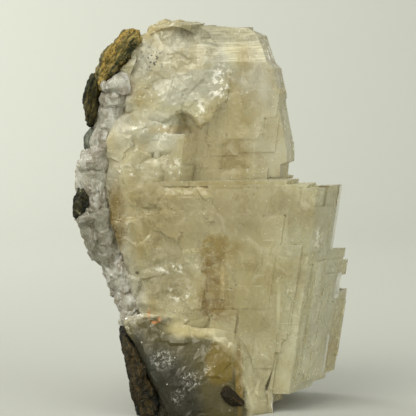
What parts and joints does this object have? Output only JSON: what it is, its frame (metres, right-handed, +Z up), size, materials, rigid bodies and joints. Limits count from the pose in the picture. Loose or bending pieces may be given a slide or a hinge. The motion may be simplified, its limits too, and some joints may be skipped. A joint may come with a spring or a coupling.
{
  "type": "calcite specimen",
  "caption": "Hand-sized broken lump of honey-clear calcite with stepped cleavage blocks, a grey quartz rim and scraps of dark wall rock, resting on a flat foot.",
  "frame": {"origin": "middle of the specimen's box, on the surface that it stands on", "axes": "+Z up, +X to the right and +Y away from someone who looks at the large cleaved front"},
  "size_m": [0.07, 0.0566, 0.0991],
  "materials": {
    "calcite": "translucent honey calcite, glossy cleavage faces, milky and frosted where broken",
    "quartz_rim": "granular grey-white quartz, satin",
    "rusty_rock": "rough iron-stained wall rock, matt",
    "dark_rock": "rough green-black wall rock, matt"
  },
  "bodies": {
    "root": {"calcite": "calcite", "quartz_rim": "quartz_rim", "host_rock_crown": "rusty_rock", "host_rock_flank": "dark_rock", "host_rock_lobe": "dark_rock", "host_rock_spur": "dark_rock", "host_rock_foot": "dark_rock", "host_rock_chip": "rusty_rock"}
  },
  "joints": []
}
